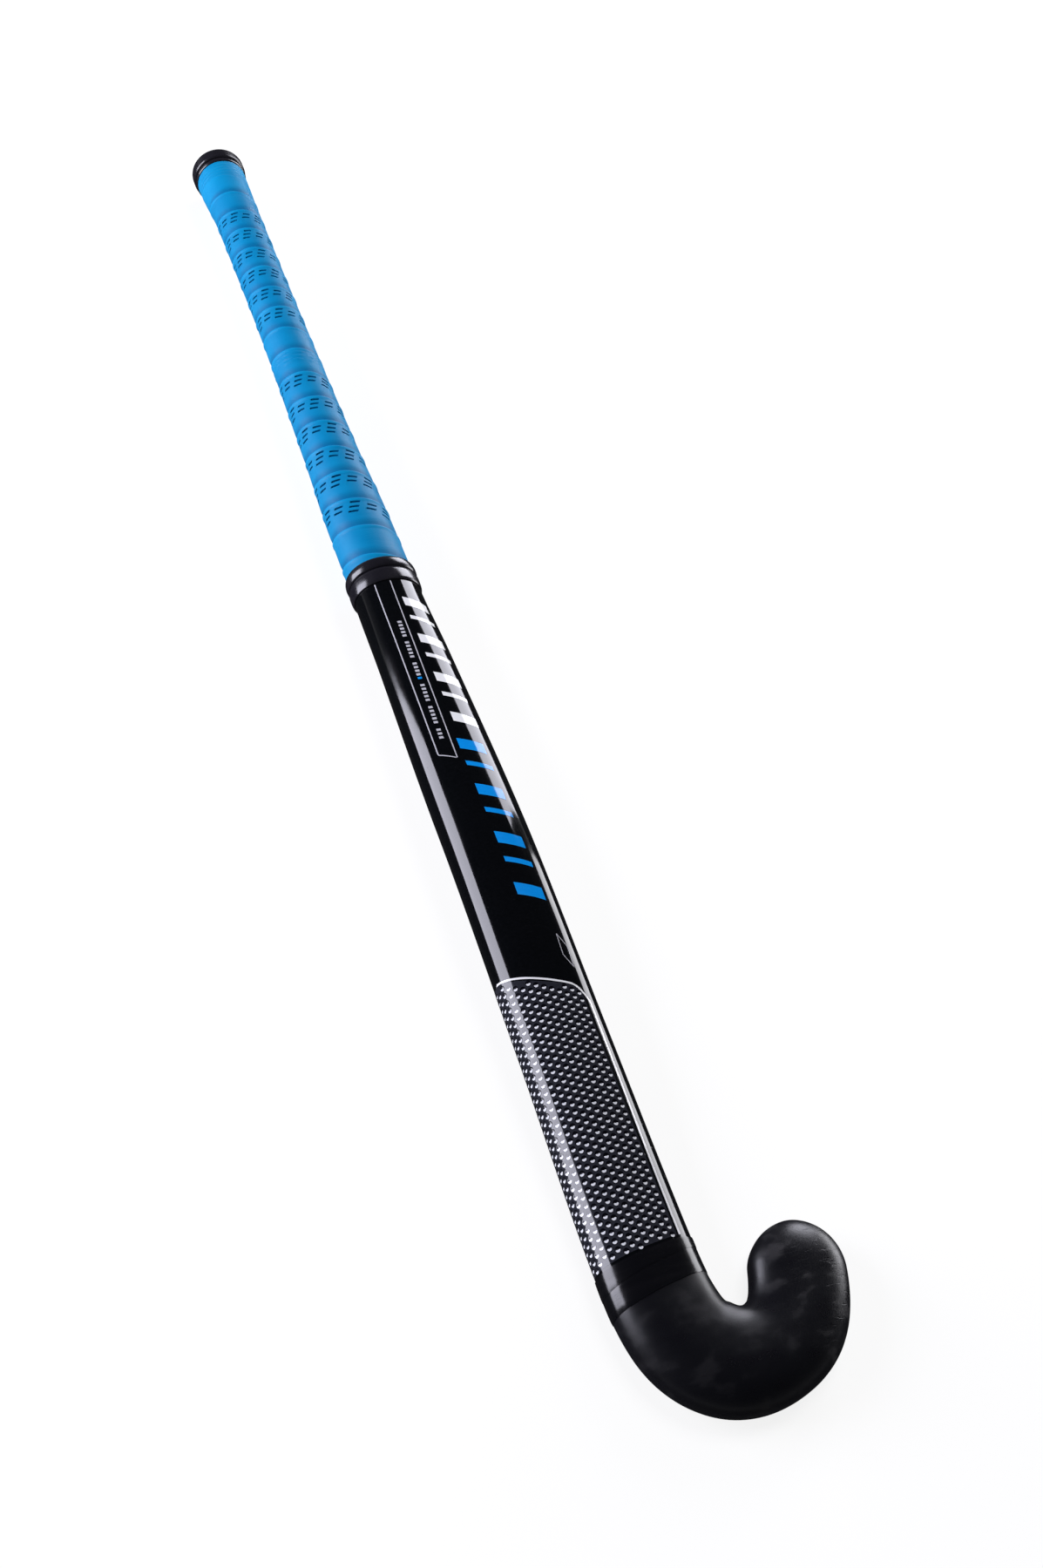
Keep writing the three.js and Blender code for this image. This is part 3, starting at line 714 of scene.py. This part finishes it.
def stroke(name, path, width, material, slot, *replaced, lift=0.0):
    path = np.array(path, float)
    ahead = np.gradient(path, axis=0)
    ahead /= np.linalg.norm(ahead, axis=1)[:, None]
    side = np.stack([ahead[:, 1], -ahead[:, 0]], -1) * width / 2
    x = np.stack([path[:, 0] - side[:, 0], path[:, 0] + side[:, 0]], 1)
    y = np.stack([path[:, 1] - side[:, 1], path[:, 1] + side[:, 1]], 1)
    conformal(name, x, y, material, slot, *replaced, lift=lift)


def straight(start, end, steps):
    return [(lerp(start[0], end[0], t), lerp(start[1], end[1], t)) for t in np.linspace(0, 1, steps)]


PANEL_SIDE = 14.6
CORNER_FROM, CORNER_TO, CORNER_DROP = 9, 16.8, 8


def panel_top(x):
    rounding = np.maximum(0, (x - CORNER_FROM) / (CORNER_TO - CORNER_FROM)) ** 2.5
    return 137.8 - 0.38 * x - CORNER_DROP * rounding


def panel_foot(x):
    return 2.6 + 0.12 * x


def make_panel():
    half = 24
    start = math.acos((PANEL_SIDE / half) ** (1 / BACK_POWER))
    angle = np.linspace(start, math.radians(205), 61)
    x = half * np.cos(angle)
    v = np.linspace(0, 1, 41)[:, None]
    y = lerp(panel_foot(x)[None], panel_top(x)[None] - 1.2, v)
    angle = np.broadcast_to(angle, y.shape)
    top, bottom = shaft_point(y, angle, PANEL_HIGH), shaft_point(y, angle, INK_LOW)
    film("dotted_panel", top, bottom, panel_black, "ink_panel", "panel_film")

    corner = [(x, panel_top(x)) for x in np.linspace(CORNER_FROM, 16.3, 16)]
    top = [(x, panel_top(x)) for x in np.linspace(-22.6, CORNER_FROM, 40)]
    side = straight((16.6, panel_top(16.6) - 1.0), (16.2, 4.6), 30)
    path = top + corner[1:] + side
    stroke("panel_edge_line", path, 1.0, white_print, "ink_white", "panel_border", lift=PANEL_HIGH)


COLUMN_SPACING, DOT_PITCH, DOT_PHASE = 3.3, 4.0, 0.8


def make_dots():
    """Staggered half-moon dots over round wells, each a thin closed disc on the panel."""
    centres = []
    for column in range(-10, 6):
        arc = COLUMN_SPACING * column - 0.7
        first = DOT_PHASE - DOT_PITCH / 2 * column
        for n in range(-12, 50):
            y = first + DOT_PITCH * n
            x = arc if abs(arc) < 16 else math.copysign(16 + (abs(arc) - 16) * 0.7, arc)
            if x < PANEL_SIDE + 0.2 and panel_foot(x) + 0.6 < y < panel_top(x) - 2.4:
                centres.append((arc, y))

    def discs(name, outline, low, high, material, slot):
        outline = np.array(outline)
        count = len(outline)
        arc = np.array([[c[0] + p[0] for p in outline] for c in centres]).ravel()
        y = np.array([[c[1] + p[1] for p in outline] for c in centres]).ravel()
        angle = back_angle(arc, y)
        points = np.concatenate([shaft_point(y, angle, high), shaft_point(y, angle, low)])
        layer = len(y)
        faces = []
        for c in range(len(centres)):
            ring = [c * count + i for i in range(count)]
            faces.append(tuple(ring))
            faces.append(tuple(layer + v for v in reversed(ring)))
            for a, b in zip(ring, ring[1:] + ring[:1]):
                faces.append((b, a, layer + a, layer + b))
        piece(name, points, faces, material, slot)

    circle = [(1.4 * math.cos(a), 1.5 * math.sin(a)) for a in np.linspace(0, 2 * np.pi, 16, endpoint=False)]
    discs("panel_wells", circle, 0.055, 0.075, well_black, "ink_panel")
    lower = [(1.1 * math.cos(a), -0.15 + 1.15 * math.sin(a)) for a in np.linspace(np.pi, 2 * np.pi, 9)]
    upper = [(0.55, 0.0), (0.0, -0.22), (-0.55, 0.0)]
    discs("panel_dots", lower + upper, 0.08, 0.1, dot_print, "ink_panel")


def make_marks():
    for name, path, replaced in (
        ("frame_outer", straight((-9.4, 409.6), (-12, 280.4), 40), "frame_line_outer"),
        ("frame_inner", straight((-0.4, 409.6), (-3.4, 275.4), 40), "frame_line_inner"),
        ("frame_foot", straight((-11.9, 280.1), (-3.6, 275.3), 6), "frame_line_end"),
    ):
        stroke(name, path, LINE_WIDTH, silver_print, "ink_silver", replaced)

    def bars(name, start, end, left, right, slot, material, count=7):
        pitch = (end - start) / count
        for i in range(count):
            length = -pitch * (LONG_BAR if i % 2 == 0 else SHORT_BAR)
            replaced = f"{slot[4:]}_bar_{i + 1}"
            bar(f"{name}_{i + 1}", left, right, start + i * pitch, length, -5, material, slot, replaced)

    bars("white_stripe", 396, 292, 2.5, 15.5, "ink_white", white_print)
    bars("blue_stripe", 288, 178, 0, 13.5, "ink_blue", blue_print)

    # A line of small dashes inside the frame, in groups, with one blue dash.
    y, n = 378.0, 0
    while y > 290:
        x = lerp(-4.5, -7.3, (378 - y) / 88)
        ink, slot = (blue_print, "ink_blue") if n == 14 else (silver_print, "ink_silver")
        bar(f"frame_dash_{n + 1}", x - 1.1, x + 1.1, y, 1.5, -0.4, ink, slot)
        n += 1
        y -= 5.4 if n % 5 == 0 else 2.7

    corners = [(12, 162), (15.5, 155), (15, 143), (11.5, 150), (12, 162)]
    sides = zip(corners, corners[1:])
    path = [lerp(np.array(a), np.array(b), t) for a, b in sides for t in np.arange(8) / 8]
    stroke("lozenge_mark", path + [np.array(corners[0])], 0.35, silver_print, "ink_silver", "mark_lozenge")


# ---- Scene ----

def make_stage():
    size = 12
    mesh = bpy.data.meshes.new("floor")
    corners = [(-size, -size, 0), (size, -size, 0), (size, size, 0), (-size, size, 0)]
    mesh.from_pydata(corners, [], [(0, 1, 2, 3)])
    floor = bpy.data.objects.new("floor", mesh)
    bpy.context.scene.collection.objects.link(floor)
    material, tree, shader, where = new_material(
        "floor", Roughness=1.0, Specular_IOR_Level=0.0, Emission_Color=(1, 1, 1, 1), Emission_Strength=0.86,
    )
    finish_colour(tree, shader, noise(tree, where, 3.0), (0.2, 0.2, 0.2), (0.205, 0.205, 0.205))
    mesh.materials.append(material)
    floor.visible_glossy = False


def area_light(name, place, target, size, power, colour=(1, 1, 1)):
    data = bpy.data.lights.new(name, "AREA")
    data.shape = "RECTANGLE"
    data.size, data.size_y = size
    data.energy = power
    data.color = colour
    lamp = bpy.data.objects.new(name, data)
    bpy.context.scene.collection.objects.link(lamp)
    lamp.location = place
    lamp.rotation_mode = "QUATERNION"
    lamp.rotation_quaternion = (Vector(target) - Vector(place)).to_track_quat("-Z", "Y")
    return lamp


def make_lights():
    area_light("left_softbox", (-1.25, 0.45, 0.5), (0, 0.3, 0.1), (1.15, 0.95), 34, (0.86, 0.86, 1.0))
    area_light("right_softbox", (1.25, 1.35, 0.55), (0, 1.1, 0.1), (1.1, 1.0), 28, (0.9, 0.9, 1.0))
    area_light("right_strip", (1.25, 0.1, 0.1), (0, 0.1, 0.05), (0.9, 0.5), 9, (0.95, 0.95, 1.0))
    key = area_light("key", (0.9, 0.5, 1.9), (0, 0, 0), (1.0, 1.0), 18)
    key.visible_glossy = False
    world = bpy.data.worlds.new("studio")
    bpy.context.scene.world = world
    world.use_nodes = True
    tree = world.node_tree
    where = node(tree, "ShaderNodeTexCoord").outputs["Generated"]
    up = node(tree, "ShaderNodeSeparateXYZ", {"Vector": where}).outputs["Z"]
    ramp = node(tree, "ShaderNodeValToRGB", {"Fac": remap(tree, up, -1, 1, 0, 1)})
    stops = [(0.0, 0.02), (0.49, 0.03), (0.5, 0.35), (0.56, 0.12), (0.7, 0.02), (1.0, 0.02)]
    ramp.color_ramp.elements[0].position, ramp.color_ramp.elements[1].position = 0, 1
    for position, _ in stops[1:-1]:
        ramp.color_ramp.elements.new(position)
    for element, (_, level) in zip(ramp.color_ramp.elements, stops):
        element.color = (level, level, level * 1.05, 1)
    background = tree.nodes["Background"]
    tree.links.new(ramp.outputs[0], background.inputs["Color"])
    background.inputs["Strength"].default_value = 1.0


def make_camera():
    """The photograph's view: beyond the head and to its left, looking up the stick."""
    data = bpy.data.cameras.new("camera")
    data.sensor_width = 36
    data.lens = 39.99
    data.clip_start, data.clip_end = 0.05, 60
    camera = bpy.data.objects.new("camera", data)
    bpy.context.scene.collection.objects.link(camera)
    right = Vector((0.93624, -0.32245, 0.1396))
    down = Vector((-0.16688, -0.7577, -0.6309))
    forward = right.cross(down)
    place = Matrix((right, -down, -forward)).transposed().to_4x4()
    place.translation = (Vector((-254.05, -258.83, 721.41)) + Vector(ORIGIN)) * MM
    camera.matrix_world = place
    bpy.context.scene.camera = camera


make_camera()
make_shaft()
make_head()
make_neck_tape_laps()
make_grip()
make_collar()
make_cap()
make_panel()
make_dots()
make_marks()

for name, material in {
    "shaft_rib": laminate,
    "head_core": laminate,
    "handle_foam": foam,
    "grip_underlay": cushion,
}.items():
    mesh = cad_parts[name].data
    mesh.materials.clear()
    mesh.materials.append(material)

make_stage()
make_lights()
view = bpy.context.scene.view_settings
view.view_transform = "Standard"
view.look = "None"
